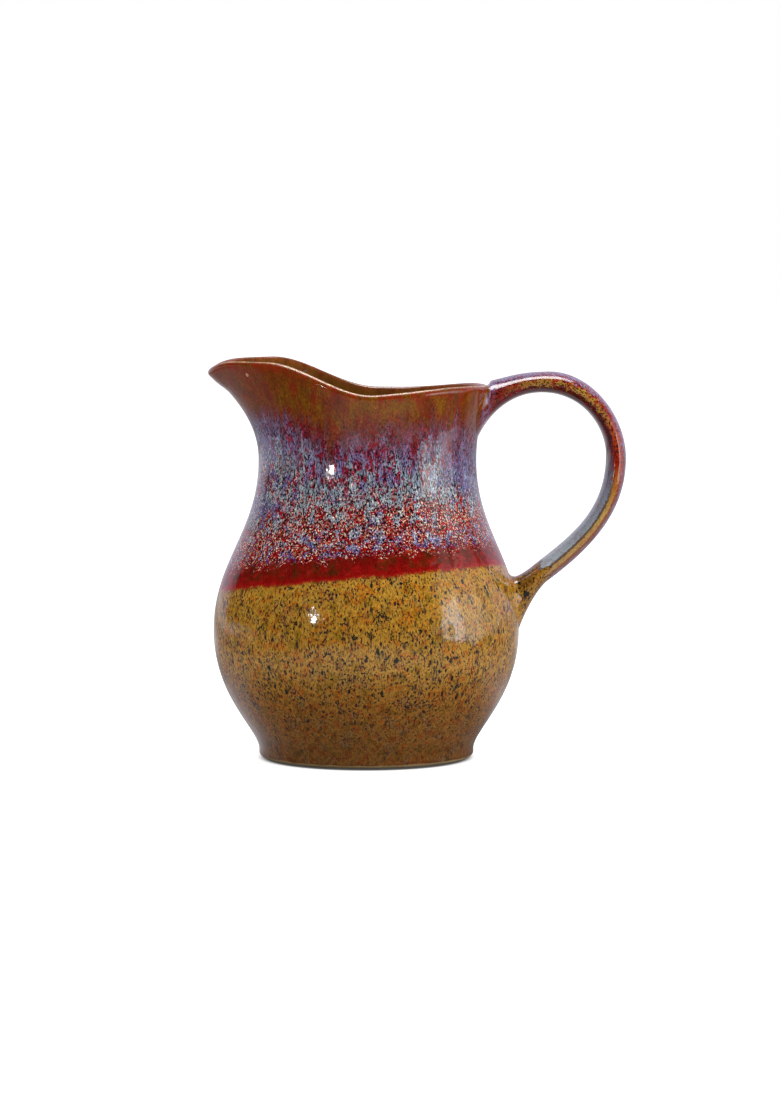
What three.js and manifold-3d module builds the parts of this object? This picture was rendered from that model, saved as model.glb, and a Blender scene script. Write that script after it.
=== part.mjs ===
// Stoneware water jug: a thrown body with a pulled spout, and a pulled strap handle luted to it with slip.
// Millimetres, +Z up. The origin is the centre of the flat base, the spout points along -X and the
// handle along +X.
import * as THREE from "three";
import { mergeVertices } from "three/addons/utils/BufferGeometryUtils.js";
import Module from "manifold-3d";

const wasm = await Module();
wasm.setup();

// Body: radii and heights of the outer wall
const footRadius = 49.3;
const footBevel = 1.3; // wiped edge round the base
const footHeight = 3.1; // upright part of the foot, below the belly's curve
const bellyRadius = 70.2;
const bellyHeight = 58.2;
const neckRadius = 49.9;
const neckHeight = 136.2;
const neckLean = 0.6; // the neck stands this far towards the handle
const rimRadius = 55.5;
const rimRise = 31.2; // from the neck up to the lowest part of the rim, between spout and handle
const wallThickness = 4.6;
const floorThickness = 6.5;
const floorRadius = 30; // flat part of the floor inside
const lipThickness = 3.8;
const rimLean = 20; // degrees that the wall leans out at the rim

// How far each bend of the wall runs on before it turns
const footSweep = 8.9;
const bellySweepBelow = 31;
const bellySweepAbove = 31.4;
const neckSweepBelow = 32.6;
const neckSweepAbove = 11;
const rimSweep = 9;
const floorSweep = 15;

// Spout and rim line: angles in degrees from the spout's centre line
const spoutReach = 13; // broad pull of the whole front of the rim
const spoutReachSharpness = 8;
const beakReach = 6.2; // narrow pull of the tip alone
const beakSharpness = 45;
const spoutRise = 14.8;
const spoutRiseFull = 40;
const spoutRiseStart = 95;
const beakDrop = 5.2;
const beakDropSpread = 12.5;
const handleRise = 3.1;
const handleRiseStart = 105;
const handleRiseFull = 160;
const reachCurl = 2.6; // how late in the flare the wall turns outwards
const riseCurl = 1.5;

// Handle: the strap's outer face runs from the rim over the crest, out to its reach and back to the belly.
// Each place is measured from the part of the body that it is fitted to.
const crestOut = 27; // beyond the rim
const crestRise = 9.2; // above the rim
const reachOut = 48.9; // beyond the belly
const reachDrop = 39.4; // below the crest
const bendOut = 13.4; // straight part low down, before the tail, beyond the belly
const bendRise = 22.6; // above the belly's widest part
const bendFall = 38; // degrees
const reachSweep = 24;
const bendSweep = 25;
const crestSweep = 18;
const upperRootRise = 0.7; // top of the upper root above the rim beside it
const upperRootFoot = 6; // bottom of the upper root above the neck's narrowest part
const upperTopClimb = 12; // degrees
const upperBottomClimb = 75;
const upperRootSweep = 9;
const lowerRootRise = 23.1; // top of the lower root above the belly's widest part
const lowerRootDrop = 2; // bottom of the lower root below the belly's widest part
const lowerTopFall = 17;
const lowerBottomFall = 76;
const lowerRootSweep = 5;
const rootDepth = 1; // how far the clay ends inside the wall line before it is trimmed to fit
const strapThickness = 9.2;
const strapWidthTop = 24;
const strapWidthBottom = 19;
const strapSquareness = 2.3; // 2 is a plain oval
const rootFlareWidth = 5;
const rootFlareLength = 9;

// Slip joints between the handle's ends and the body
const slipThickness = 1;
const slipSqueeze = 0.5; // how far the slip stands out round the handle's end
const jointGap = 0.3;

// Fineness of the mesh
const roundSegments = 72;
const wallSteps = 8; // points along each bend of the wall
const lipSteps = 6;
const strapSides = 20;
const strapSteps = 52;

const stoneware = { color: 0xa8772f, roughness: 0.22, metalness: 0 };
const upperGlaze = { color: 0x8a4b52, roughness: 0.2, metalness: 0 };
const bareClay = { color: 0xa58d63, roughness: 0.85, metalness: 0 };

const radians = THREE.MathUtils.degToRad;
const smoothstep = THREE.MathUtils.smoothstep;
const quarterRound = (4 / 3) * (Math.SQRT2 - 1); // share of a radius that rounds a quarter turn

// Where the rim stands, where the handle passes and where its roots end
const rimHeight = neckHeight + rimRise;
const crestRadius = rimRadius + crestOut;
const crestHeight = rimHeight + crestRise;
const handleReach = bellyRadius + reachOut;
const reachHeight = crestHeight - reachDrop;
const bendRadius = bellyRadius + bendOut;
const bendHeight = bellyHeight + bendRise;
const upperRootTop = rimHeight + handleRise + upperRootRise;
const upperRootBottom = neckHeight + upperRootFoot;
const lowerRootTop = bellyHeight + lowerRootRise;
const lowerRootBottom = bellyHeight - lowerRootDrop;

// Direction in the wall's plane at an angle in degrees from the level outward direction
function direction(degrees) {
  return new THREE.Vector2(Math.cos(radians(degrees)), Math.sin(radians(degrees)));
}

function along(point, way, distance) {
  return point.clone().addScaledVector(way, distance);
}

function curveTo(path, first, second, end) {
  path.bezierCurveTo(first.x, first.y, second.x, second.y, end.x, end.y);
}

// Wall outlines, as radius and height

const up = direction(90);
const rimWay = direction(90 - rimLean);
const lipRadius = lipThickness / 2;
const lipCentre = new THREE.Vector2(rimRadius - lipRadius, rimHeight - lipRadius);
const lipOutside = along(lipCentre, direction(-rimLean), lipRadius);
const lipInside = along(lipCentre, direction(-rimLean), -lipRadius);

// Outer wall from the foot to the lip, moved outwards by offset
function outerWall(path, offset) {
  const shift = new THREE.Vector2(offset, 0);
  const foot = new THREE.Vector2(footRadius, footHeight).add(shift);
  const belly = new THREE.Vector2(bellyRadius, bellyHeight).add(shift);
  const neck = new THREE.Vector2(neckRadius, neckHeight).add(shift);
  const lip = lipOutside.clone().add(shift);
  path.lineTo(foot.x, foot.y);
  curveTo(path, along(foot, up, footSweep), along(belly, up, -bellySweepBelow), belly);
  curveTo(path, along(belly, up, bellySweepAbove), along(neck, up, -neckSweepBelow), neck);
  curveTo(path, along(neck, up, neckSweepAbove), along(lip, rimWay, -rimSweep), lip);
}

// Inner wall from the lip down to the middle of the floor
function innerWall(path) {
  const neck = new THREE.Vector2(neckRadius - wallThickness, neckHeight);
  const belly = new THREE.Vector2(bellyRadius - wallThickness, bellyHeight);
  const floor = new THREE.Vector2(floorRadius, floorThickness);
  curveTo(path, along(lipInside, rimWay, -rimSweep), along(neck, up, neckSweepAbove), neck);
  curveTo(path, along(neck, up, -neckSweepBelow), along(belly, up, bellySweepAbove), belly);
  curveTo(path, along(belly, up, -bellySweepBelow), along(floor, direction(0), floorSweep), floor);
  path.lineTo(0, floorThickness);
}

// Points of a path with straight runs kept as they are and lip arcs taken finer than the wall
function outlinePoints(path) {
  const points = [];
  for (const curve of path.curves) {
    const steps = curve.isLineCurve ? 1 : curve.isEllipseCurve ? lipSteps : wallSteps;
    const own = curve.getPoints(steps);
    points.push(...(points.length ? own.slice(1) : own));
  }
  return points;
}

function wallRadiusAt(height) {
  const path = new THREE.Path().moveTo(footRadius, 0);
  outerWall(path, 0);
  const points = outlinePoints(path);
  const next = points.findIndex((point) => point.y >= height);
  if (next < 0) return points.at(-1).x;
  const [low, high] = [points[next - 1], points[next]];
  return THREE.MathUtils.mapLinear(height, low.y, high.y, low.x, high.x);
}

// Spout: the soft rim is pulled out and up at the front and lifted a little at the handle, on a neck that
// stands slightly off the belly's centre

function bump(angle, sharpness) {
  return ((1 + Math.cos(angle)) / 2) ** sharpness;
}

function rimPullOut(angle) {
  return spoutReach * bump(angle, spoutReachSharpness) + beakReach * bump(angle, beakSharpness);
}

function rimPullUp(angle) {
  const degrees = Math.abs(THREE.MathUtils.radToDeg(angle));
  const spout = 1 - smoothstep(degrees, spoutRiseFull, spoutRiseStart);
  const beak = Math.exp(-((degrees / beakDropSpread) ** 2));
  const handle = smoothstep(degrees, handleRiseStart, handleRiseFull);
  return spoutRise * spout - beakDrop * beak + handleRise * handle;
}

function shapeNeck(geometry) {
  const position = geometry.getAttribute("position");
  const point = new THREE.Vector3();
  for (let i = 0; i < position.count; i++) {
    point.fromBufferAttribute(position, i);
    const flare = Math.max((point.z - neckHeight) / (rimHeight - neckHeight), 0);
    const angle = Math.atan2(point.y, -point.x);
    const radius = Math.hypot(point.x, point.y);
    const pulled = radius > 0 ? 1 + (rimPullOut(angle) * flare ** reachCurl) / radius : 1;
    const lifted = point.z + rimPullUp(angle) * Math.min(flare, 1) ** riseCurl;
    const lean = neckLean * smoothstep(point.z, bellyHeight, neckHeight);
    position.setXYZ(i, point.x * pulled + lean, point.y * pulled, lifted);
  }
  return geometry;
}

// A turned solid about Z from a path of radius and height
function turned(path) {
  return new THREE.LatheGeometry(outlinePoints(path), roundSegments).rotateX(Math.PI / 2);
}

function bodyGeometry() {
  const path = new THREE.Path().moveTo(0, 0).lineTo(footRadius - footBevel, 0).lineTo(footRadius, footBevel);
  outerWall(path, 0);
  path.absarc(lipCentre.x, lipCentre.y, lipRadius, radians(-rimLean), radians(180 - rimLean));
  innerWall(path);
  return shapeNeck(turned(path));
}

// The body's outside as one solid, moved outwards by offset and carried on above the rim
function bodyEnvelope(offset) {
  const above = crestHeight + strapThickness;
  const path = new THREE.Path().moveTo(0, 0).lineTo(footRadius + offset, 0);
  outerWall(path, offset);
  path.lineTo(rimRadius + offset, lipCentre.y).lineTo(rimRadius + offset, above).lineTo(0, above);
  return shapeNeck(turned(path));
}

// Handle

function segment(start, startWay, startSweep, end, endWay, endSweep) {
  const corners = [start, along(start, startWay, startSweep), along(end, endWay, -endSweep), end];
  return new THREE.CubicBezierCurve(...corners);
}

function rootPoint(height) {
  return new THREE.Vector2(wallRadiusAt(height) - rootDepth, height);
}

// One face of the strap in the plane of spout and handle: four bends, each its own curve.
// The inner face lies one strap thickness inside the outer one and has its own two ends.
function strapFace(depth, rootTop, climb, rootEnd, plunge) {
  const fall = direction(180 + bendFall);
  const outward = direction(0);
  const down = direction(-90);
  const crest = new THREE.Vector2(crestRadius, crestHeight - depth);
  const reach = new THREE.Vector2(handleReach - depth, reachHeight);
  const bend = along(new THREE.Vector2(bendRadius, bendHeight), direction(90 + bendFall), depth);
  const overSweep = quarterRound * (reach.x - crest.x);
  const downSweep = quarterRound * (crest.y - reach.y);
  return [
    segment(rootTop, climb, upperRootSweep, crest, outward, crestSweep),
    segment(crest, outward, overSweep, reach, down, downSweep),
    segment(reach, down, reachSweep, bend, fall, bendSweep),
    segment(bend, fall, lowerRootSweep, rootEnd, plunge, lowerRootSweep),
  ];
}

const outerFace = strapFace(
  0,
  rootPoint(upperRootTop),
  direction(upperTopClimb),
  rootPoint(lowerRootBottom),
  direction(180 + lowerBottomFall),
);
const innerFace = strapFace(
  strapThickness,
  rootPoint(upperRootBottom),
  direction(upperBottomClimb),
  rootPoint(lowerRootTop),
  direction(180 + lowerTopFall),
);

// A round bar bent between the two faces, with a strap's section that widens towards both roots
function handleBlank(grow) {
  const lengths = outerFace.map((curve) => curve.getLength());
  const length = lengths.reduce((sum, own) => sum + own);
  const bar = new THREE.CylinderGeometry(1, 1, 1, strapSides, strapSteps);
  const position = bar.getAttribute("position");
  const rounded = (value) => Math.sign(value) * Math.abs(value) ** (2 / strapSquareness);
  for (let i = 0; i < position.count; i++) {
    const share = THREE.MathUtils.clamp(0.5 - position.getY(i), 0, 1);
    let rest = share * length;
    let bend = 0;
    while (bend < lengths.length - 1 && rest > lengths[bend]) {
      rest -= lengths[bend];
      bend += 1;
    }
    const place = Math.min(rest / lengths[bend], 1);
    const outer = outerFace[bend].getPointAt(place);
    const inner = innerFace[bend].getPointAt(place);
    const half = outer.clone().sub(inner).divideScalar(2);
    const thick = rounded(position.getZ(i)) * (1 + grow / half.length());
    const centre = inner.clone().add(half).addScaledVector(half, thick);
    const flare = Math.exp((-length * Math.min(share, 1 - share)) / rootFlareLength);
    const width = THREE.MathUtils.lerp(strapWidthTop, strapWidthBottom, share) + rootFlareWidth * flare;
    position.setXYZ(i, centre.x, rounded(position.getX(i)) * (width / 2 + grow), centre.y);
  }
  return bar;
}

// Solids

function solid(geometry) {
  const bare = geometry.clone();
  bare.deleteAttribute("normal");
  bare.deleteAttribute("uv");
  const merged = mergeVertices(bare);
  const made = new wasm.Mesh({
    numProp: 3,
    vertProperties: merged.getAttribute("position").array,
    triVerts: new Uint32Array(merged.index.array),
  });
  made.merge();
  return new wasm.Manifold(made);
}

function geometryOf(manifold) {
  const { vertProperties, triVerts } = manifold.getMesh();
  const geometry = new THREE.BufferGeometry();
  geometry.setAttribute("position", new THREE.BufferAttribute(vertProperties, 3));
  geometry.setIndex(new THREE.BufferAttribute(triVerts, 1));
  geometry.computeVertexNormals();
  return geometry;
}

// Everything above a height, as a block wider than the jug
function blockAbove(height) {
  const size = 4 * handleReach;
  return solid(new THREE.BoxGeometry(size, size, size).translate(0, 0, height + size / 2));
}

function mesh(name, geometry, finish) {
  const made = new THREE.Mesh(geometry, new THREE.MeshStandardMaterial(finish));
  made.name = name;
  return made;
}

const bodySkin = solid(bodyEnvelope(jointGap));
const slipSkin = solid(bodyEnvelope(jointGap + slipThickness));
const handleSeat = solid(bodyEnvelope(2 * jointGap + slipThickness));
const slipRing = solid(handleBlank(slipSqueeze)).intersect(slipSkin).subtract(bodySkin);
const upperHalf = blockAbove((upperRootBottom + lowerRootTop) / 2);

const jug = new THREE.Group();
jug.add(mesh("body", bodyGeometry(), stoneware));
jug.add(mesh("handle", geometryOf(solid(handleBlank(0)).subtract(handleSeat)), upperGlaze));
jug.add(mesh("upper_slip_joint", geometryOf(slipRing.intersect(upperHalf)), bareClay));
jug.add(mesh("lower_slip_joint", geometryOf(slipRing.subtract(upperHalf)), bareClay));

export default jug;
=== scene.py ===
import math
import bmesh
import bpy
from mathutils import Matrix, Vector
from mathutils.bvhtree import BVHTree
from mathutils.geometry import interpolate_bezier


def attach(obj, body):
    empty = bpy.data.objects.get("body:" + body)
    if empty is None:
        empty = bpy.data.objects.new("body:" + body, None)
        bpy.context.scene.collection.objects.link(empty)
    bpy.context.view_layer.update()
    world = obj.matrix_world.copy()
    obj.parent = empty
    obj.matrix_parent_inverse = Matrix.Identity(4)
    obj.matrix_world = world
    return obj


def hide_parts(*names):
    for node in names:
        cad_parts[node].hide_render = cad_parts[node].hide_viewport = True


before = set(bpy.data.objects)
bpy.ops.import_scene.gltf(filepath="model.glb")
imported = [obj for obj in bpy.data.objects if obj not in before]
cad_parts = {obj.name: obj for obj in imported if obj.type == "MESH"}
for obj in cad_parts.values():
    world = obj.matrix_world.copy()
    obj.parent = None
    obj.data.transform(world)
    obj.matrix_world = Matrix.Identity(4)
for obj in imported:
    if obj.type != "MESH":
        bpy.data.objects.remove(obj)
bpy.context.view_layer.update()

mm = 0.001  # sizes below are in millimetres, meshes in metres
print("frame loaded")


def way(degrees):  # direction in the plane of radius and height
    return Vector((math.cos(math.radians(degrees)), math.sin(math.radians(degrees)), 0))


def bend(start, startWay, startSweep, end, endWay, endSweep, points):
    return interpolate_bezier(start, start + startWay * startSweep, end - endWay * endSweep, end, points)


def smooth(value, low, high):
    share = min(max((value - low) / (high - low), 0), 1)
    return share * share * (3 - 2 * share)


def placePiece(name, mesh, material, *nodes):
    bmesh.ops.remove_doubles(mesh, verts=mesh.verts, dist=1e-7)
    bmesh.ops.recalc_face_normals(mesh, faces=mesh.faces)
    for face in mesh.faces:
        face.smooth = True
    data = bpy.data.meshes.new(name)
    mesh.to_mesh(data)
    piece = bpy.data.objects.new(name, data)
    bpy.context.scene.collection.objects.link(piece)
    data.materials.append(material)
    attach(piece, "root")
    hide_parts(*nodes)
    print("made", name, len(data.polygons), "faces")
    return piece


# short names for the nodes that the glazes are built from

def addNode(tree, kind, **settings):
    made = tree.nodes.new(kind)
    for key, value in settings.items():
        setattr(made, key, value)
    return made


def colour(red, green, blue):  # screen values to the shader's linear ones
    def straight(value):
        value /= 255
        return value / 12.92 if value <= 0.04045 else ((value + 0.055) / 1.055) ** 2.4
    return (straight(red), straight(green), straight(blue), 1)


def feed(tree, socket, value):  # a socket is linked, three screen values are a colour, the rest is typed in
    if isinstance(value, bpy.types.NodeSocket):
        tree.links.new(value, socket)
    elif isinstance(value, tuple) and len(value) == 3:
        socket.default_value = colour(*value)
    else:
        socket.default_value = value


def maths(tree, operation, first, second=0.0):
    made = addNode(tree, "ShaderNodeMath", operation=operation)
    feed(tree, made.inputs[0], first)
    feed(tree, made.inputs[1], second)
    return made.outputs[0]


def plus(tree, first, second):
    return maths(tree, "ADD", first, second)


def minus(tree, first, second):
    return maths(tree, "SUBTRACT", first, second)


def times(tree, product, *values):
    for value in values:
        product = maths(tree, "MULTIPLY", product, value)
    return product


def spread(tree, value, low, high, toLow=0.0, toHigh=1.0, soft=True):
    made = addNode(tree, "ShaderNodeMapRange", interpolation_type="SMOOTHSTEP" if soft else "LINEAR")
    for socket, number in zip(made.inputs, (value, low, high, toLow, toHigh)):
        feed(tree, socket, number)
    return made.outputs[0]


def tint(tree, share, first, second, mode="MIX"):
    made = addNode(tree, "ShaderNodeMix", data_type="RGBA", blend_type=mode)
    feed(tree, made.inputs[0], share)
    feed(tree, made.inputs[6], first)
    feed(tree, made.inputs[7], second)
    return made.outputs[2]


def between(tree, share, first, second):  # mixes two numbers
    made = addNode(tree, "ShaderNodeMix", data_type="FLOAT")
    feed(tree, made.inputs[0], share)
    feed(tree, made.inputs[2], first)
    feed(tree, made.inputs[3], second)
    return made.outputs[0]


def stretched(tree, vector, x, y, z):
    made = addNode(tree, "ShaderNodeVectorMath", operation="MULTIPLY")
    feed(tree, made.inputs[0], vector)
    made.inputs[1].default_value = (x, y, z)
    return made.outputs[0]


def split(tree, vector):
    made = addNode(tree, "ShaderNodeSeparateXYZ")
    feed(tree, made.inputs[0], vector)
    return made.outputs[0], made.outputs[1], made.outputs[2]


def distance(tree, vector, spot):
    made = addNode(tree, "ShaderNodeVectorMath", operation="DISTANCE")
    feed(tree, made.inputs[0], vector)
    made.inputs[1].default_value = spot
    return made.outputs["Value"]


def objectPlace(tree):
    return addNode(tree, "ShaderNodeTexCoord").outputs["Object"]


def attribute(tree, name):
    return addNode(tree, "ShaderNodeAttribute", attribute_name=name).outputs["Fac"]


def cloud(tree, vector, size, detail=2.0, rough=0.5):  # size in millimetres
    made = addNode(tree, "ShaderNodeTexNoise")
    feed(tree, made.inputs["Vector"], vector)
    made.inputs["Scale"].default_value = 1 / size
    made.inputs["Detail"].default_value = detail
    made.inputs["Roughness"].default_value = rough
    return made.outputs[0]


def swing(tree, *noise):  # the same noise about nought
    return minus(tree, cloud(tree, *noise), 0.5)


def flecks(tree, vector, size):  # distance to the fleck's middle, and three chances per fleck
    made = addNode(tree, "ShaderNodeTexVoronoi")
    feed(tree, made.inputs["Vector"], vector)
    made.inputs["Scale"].default_value = 1 / size
    chances = addNode(tree, "ShaderNodeSeparateColor")
    feed(tree, chances.inputs[0], made.outputs["Color"])
    return made.outputs["Distance"], chances.outputs[0], chances.outputs[1], chances.outputs[2]


def ramp(tree, value, stops, lowest=0):  # screen colours or plain shares along a value
    first, last = stops[0][0], stops[-1][0]
    made = addNode(tree, "ShaderNodeValToRGB")
    line = made.color_ramp
    while len(line.elements) < len(stops):
        line.elements.new(0.5)
    plain = not isinstance(stops[0][1], tuple)
    tallest = max(share for _, share in stops) - lowest if plain else 1.0
    for stop, (at, _) in zip(line.elements, stops):
        stop.position = (at - first) / (last - first)
    for stop, (_, share) in zip(line.elements, stops):
        stop.color = ((share - lowest) / tallest,) * 3 + (1,) if plain else colour(*share)
    feed(tree, made.inputs[0], spread(tree, value, first, last, soft=False))
    if plain:
        return spread(tree, made.outputs[0], 0, 1, lowest, lowest + tallest, False)
    return made.outputs[0]


def cover(tree, noise, share, soft=0.04):  # where a noise covers about this share of the surface
    if isinstance(share, bpy.types.NodeSocket):
        moved = plus(tree, noise, spread(tree, share, 0, 1, -0.3, 0.3, False))
    else:
        moved = plus(tree, noise, share * 0.6 - 0.3)
    return spread(tree, moved, 0.5 - soft, 0.5 + soft)


def grained(tree, base, vector, size, detail, depth):  # light and dark grain over a colour
    grain = spread(tree, cloud(tree, vector, size, detail), 0.25, 0.75, 1 - depth, 1 + depth, False)
    return tint(tree, 1.0, base, grain, "MULTIPLY")


def newMaterial(name):
    material = bpy.data.materials.new(name)
    material.use_nodes = True
    return material, material.node_tree, material.node_tree.nodes["Principled BSDF"]


# the thrown body, in millimetres and degrees, with the spout towards -x
jugBody = {
    "footRadius": 49.3, "footBevel": 1.3, "footHeight": 3.1, "footSweep": 8.9,
    "baseRings": (0, 12, 24, 36, 44), "baseEdge": 0.6,
    "cornerLift": 0.15, "cornerLean": 20, "cornerTop": 0.4, "cornerIn": 0.7, "cornerOut": 0.6,
    "cornerPoints": 6,
    "bellyRadius": 70.2, "bellyHeight": 58.2, "bellyBelow": 31, "bellyAbove": 31.4,
    "neckRadius": 49.9, "neckHeight": 136.2, "neckBelow": 32.6, "neckAbove": 11, "neckLean": 0.6,
    "rimRadius": 55.5, "rimHeight": 167.4, "rimSweep": 9, "rimLean": 20, "lip": 3.8, "lipSteps": 12,
    "wall": 4.6, "floor": 6.5, "floorRadius": 30, "floorSweep": 15, "floorRings": (20, 10, 0),
    "spoutReach": 12.0, "spoutSharpness": 8, "reachCurl": 2.5,
    "spoutRise": 14.74, "riseFull": 40, "riseStart": 95, "riseCurl": 1.65,
    "beakReach": 4.4, "beakSharpness": 38, "beakDrop": 4.6, "beakSpread": 12.0,
    "beakLip": 0.6, "beakDepth": 4,
    "handleRise": 3.1, "handleStart": 105, "handleFull": 160,
    "nearRise": 2.1, "nearStart": 80, "nearFull": 120, "nearEase": 124, "nearEnd": 166,
    "fingerRings": 0.22, "ringPitch": 7.5, "ringsFrom": 12, "ringsFull": 45, "ringsOffFloor": 12,
    "turns": 208, "wallPoints": 44,
}


def bodyOutline(b):  # half the section, and how far each of its points lies from the top of the lip
    up, out = way(90), way(0)
    rimWay, rimSide = way(90 - b["rimLean"]), way(-b["rimLean"])
    half = b["lip"] / 2
    lipMiddle = Vector((b["rimRadius"] - half, b["rimHeight"] - half, 0))
    lipOut = lipMiddle + rimSide * half
    lipIn = lipMiddle - rimSide * half
    foot = Vector((b["footRadius"], b["footHeight"], 0))
    belly = Vector((b["bellyRadius"], b["bellyHeight"], 0))
    neck = Vector((b["neckRadius"], b["neckHeight"], 0))
    inset = out * b["wall"]
    floor = Vector((b["floorRadius"], b["floor"], 0))
    points = b["wallPoints"]
    footInner = b["footRadius"] - b["footBevel"]
    base = [Vector((r, 0, 0)) for r in b["baseRings"] + (footInner - b["baseEdge"],)]
    corner = bend(Vector((footInner, b["cornerLift"], 0)), way(b["cornerLean"]), b["cornerIn"],
                  Vector((b["footRadius"], b["footBevel"] + b["cornerTop"], 0)), up, b["cornerOut"],
                  b["cornerPoints"])
    outside = bend(foot, up, b["footSweep"], belly, up, b["bellyBelow"], points)
    outside += bend(belly, up, b["bellyAbove"], neck, up, b["neckBelow"], points)[1:]
    outside += bend(neck, up, b["neckAbove"], lipOut, rimWay, b["rimSweep"], points // 2)[1:]
    lipTurns = [180 * step / b["lipSteps"] - b["rimLean"] for step in range(1, b["lipSteps"])]
    lip = [lipMiddle + way(turn) * half for turn in lipTurns]
    inside = bend(lipIn, -rimWay, b["rimSweep"], neck - inset, -up, b["neckAbove"], points // 2)
    inside += bend(neck - inset, -up, b["neckBelow"], belly - inset, -up, b["bellyAbove"], points)[1:]
    inside += bend(belly - inset, -up, b["bellyBelow"], floor, -out, b["floorSweep"], points)[1:]
    middle = [Vector((r, b["floor"], 0)) for r in b["floorRings"]]
    line = base + corner + outside + lip + inside + middle
    top = len(base) + len(corner) + len(outside) + len(lip) // 2
    away = [0.0] * len(line)
    for i in range(top - 1, -1, -1):  # down the outside
        away[i] = away[i + 1] + (line[i] - line[i + 1]).length
    for i in range(top + 1, len(line)):  # down the inside
        away[i] = away[i - 1] - (line[i] - line[i - 1]).length
    return line, away


def pulledNeck(b, x, y, z):  # spout, rim line and lean
    half = b["lip"] / 2
    flare = (z - b["neckHeight"]) / (b["rimHeight"] - half - b["neckHeight"])
    flare = min(max(flare, 0), 1)  # the round lip moves as one
    lean = b["neckLean"] * smooth(z, b["bellyHeight"], b["neckHeight"])
    radius = math.hypot(x, y)
    if radius < 1e-6 or flare == 0:
        return x + lean, y, z
    angle = math.atan2(y, -x)
    degrees = abs(math.degrees(angle))
    facing = (1 + math.cos(angle)) / 2
    beak = math.exp(-((degrees / b["beakSpread"]) ** 2))
    fat = b["beakLip"] * beak * smooth(z, b["rimHeight"] - b["beakDepth"] * half, b["rimHeight"] - half)
    radius += (radius - b["rimRadius"] + half) * fat  # a rounder nose
    z += (z - b["rimHeight"] + half) * fat
    pull = b["spoutReach"] * facing ** b["spoutSharpness"] + b["beakReach"] * facing ** b["beakSharpness"]
    radius += pull * flare ** b["reachCurl"]
    lift = b["spoutRise"] * (1 - smooth(degrees, b["riseFull"], b["riseStart"])) - b["beakDrop"] * beak
    lift += b["handleRise"] * smooth(degrees, b["handleStart"], b["handleFull"])
    if y < 0:  # thrown by hand, the near side of the rim climbs to the handle sooner
        near = smooth(degrees, b["nearStart"], b["nearFull"])
        lift += b["nearRise"] * near * (1 - smooth(degrees, b["nearEase"], b["nearEnd"]))
    return lean - radius * math.cos(angle), radius * math.sin(angle), z + lift * flare ** b["riseCurl"]


def throwBody(b):
    mesh = bmesh.new()
    rimAway = mesh.verts.layers.float.new("rimAway")
    line, away = bodyOutline(b)
    last = None
    for point, run in zip(line, away):
        vert = mesh.verts.new((point.x * mm, 0, point.y * mm))
        vert[rimAway] = run
        if last:
            mesh.edges.new((last, vert))
        last = vert
    bmesh.ops.spin(mesh, geom=mesh.verts[:] + mesh.edges[:], axis=(0, 0, 1), cent=(0, 0, 0),
                   steps=b["turns"], angle=2 * math.pi, use_merge=True)
    bmesh.ops.remove_doubles(mesh, verts=mesh.verts, dist=1e-6)
    for vert in mesh.verts:
        x, y, z = vert.co / mm
        radius = math.hypot(x, y)
        if radius > b["floorRadius"] and vert[rimAway] < -b["ringsFrom"]:  # the potter's finger rings inside
            ring = math.sin(2 * math.pi * z / b["ringPitch"] + math.atan2(y, x))
            fade = smooth(-vert[rimAway], b["ringsFrom"], b["ringsFull"])
            fade *= smooth(z, b["floor"], b["floor"] + b["ringsOffFloor"])
            grow = 1 + b["fingerRings"] * ring * fade / radius
            x, y = x * grow, y * grow
        vert.co = Vector(pulledNeck(b, x, y, z)) * mm
    bmesh.ops.recalc_face_normals(mesh, faces=mesh.faces)
    return mesh


# the strap handle: its outer and inner face lines from the rim to the belly, then its section and ends
strapOutside = {
    "root": (50.5, 171.5), "rootWay": 5.0, "rootSweep": 12.0,
    "crest": (84.0, 176.6), "crestIn": 17.4, "crestOut": 18.5,
    "reach": (119.05, 136.8), "reachUp": 20.2, "reachDown": 23.6,
    "low": (83.6, 80.8), "lowWay": 216.7, "lowIn": 26.6, "lowOut": 7.6,
    "end": (69.6, 56.2), "endWay": 256.4, "endSweep": 5.7,
}
strapInside = {
    "root": (49.6, 142.2), "rootWay": 74.6, "rootSweep": 9.0,
    "crest": (80.4, 167.0), "crestIn": 18.3, "crestOut": 18.9,
    "reach": (109.9, 138.3), "reachUp": 12.6, "reachDown": 27.2,
    "low": (75.8, 86.8), "lowWay": 218.9, "lowIn": 20.9, "lowOut": 5.2,
    "end": (65.5, 81.3), "endWay": 197.4, "endSweep": 3.1,
}
strap = {
    "widthTop": 24, "widthLow": 19.5, "squareness": 2.1, "rootWiden": 4, "rootWidenOver": 10,
    "fillet": 4.5, "innerFillet": 3.2, "crookFrom": 0.7, "hugOver": 9, "sink": 0.35,
    "lipHeight": 168.5, "shoulder": 1.6, "shoulderTop": 169.8, "wellOutside": 300,
    "seatInset": 0.8, "seatDepth": 1.3,
    "sides": 56, "rings": (40, 34, 38, 40), "rootRings": 34,
}


def strapLine(s, counts):
    def spot(key):
        return Vector((s[key][0], s[key][1], 0))
    pieces = (
        (spot("root"), way(s["rootWay"]), s["rootSweep"], spot("crest"), way(0), s["crestIn"]),
        (spot("crest"), way(0), s["crestOut"], spot("reach"), way(-90), s["reachUp"]),
        (spot("reach"), way(-90), s["reachDown"], spot("low"), way(s["lowWay"]), s["lowIn"]),
        (spot("low"), way(s["lowWay"]), s["lowOut"], spot("end"), way(s["endWay"]), s["endSweep"]),
    )
    line = []
    for piece, count in zip(pieces, counts):
        own = bend(*piece, count + 1)
        line += own if not line else own[1:]
    return line


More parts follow.
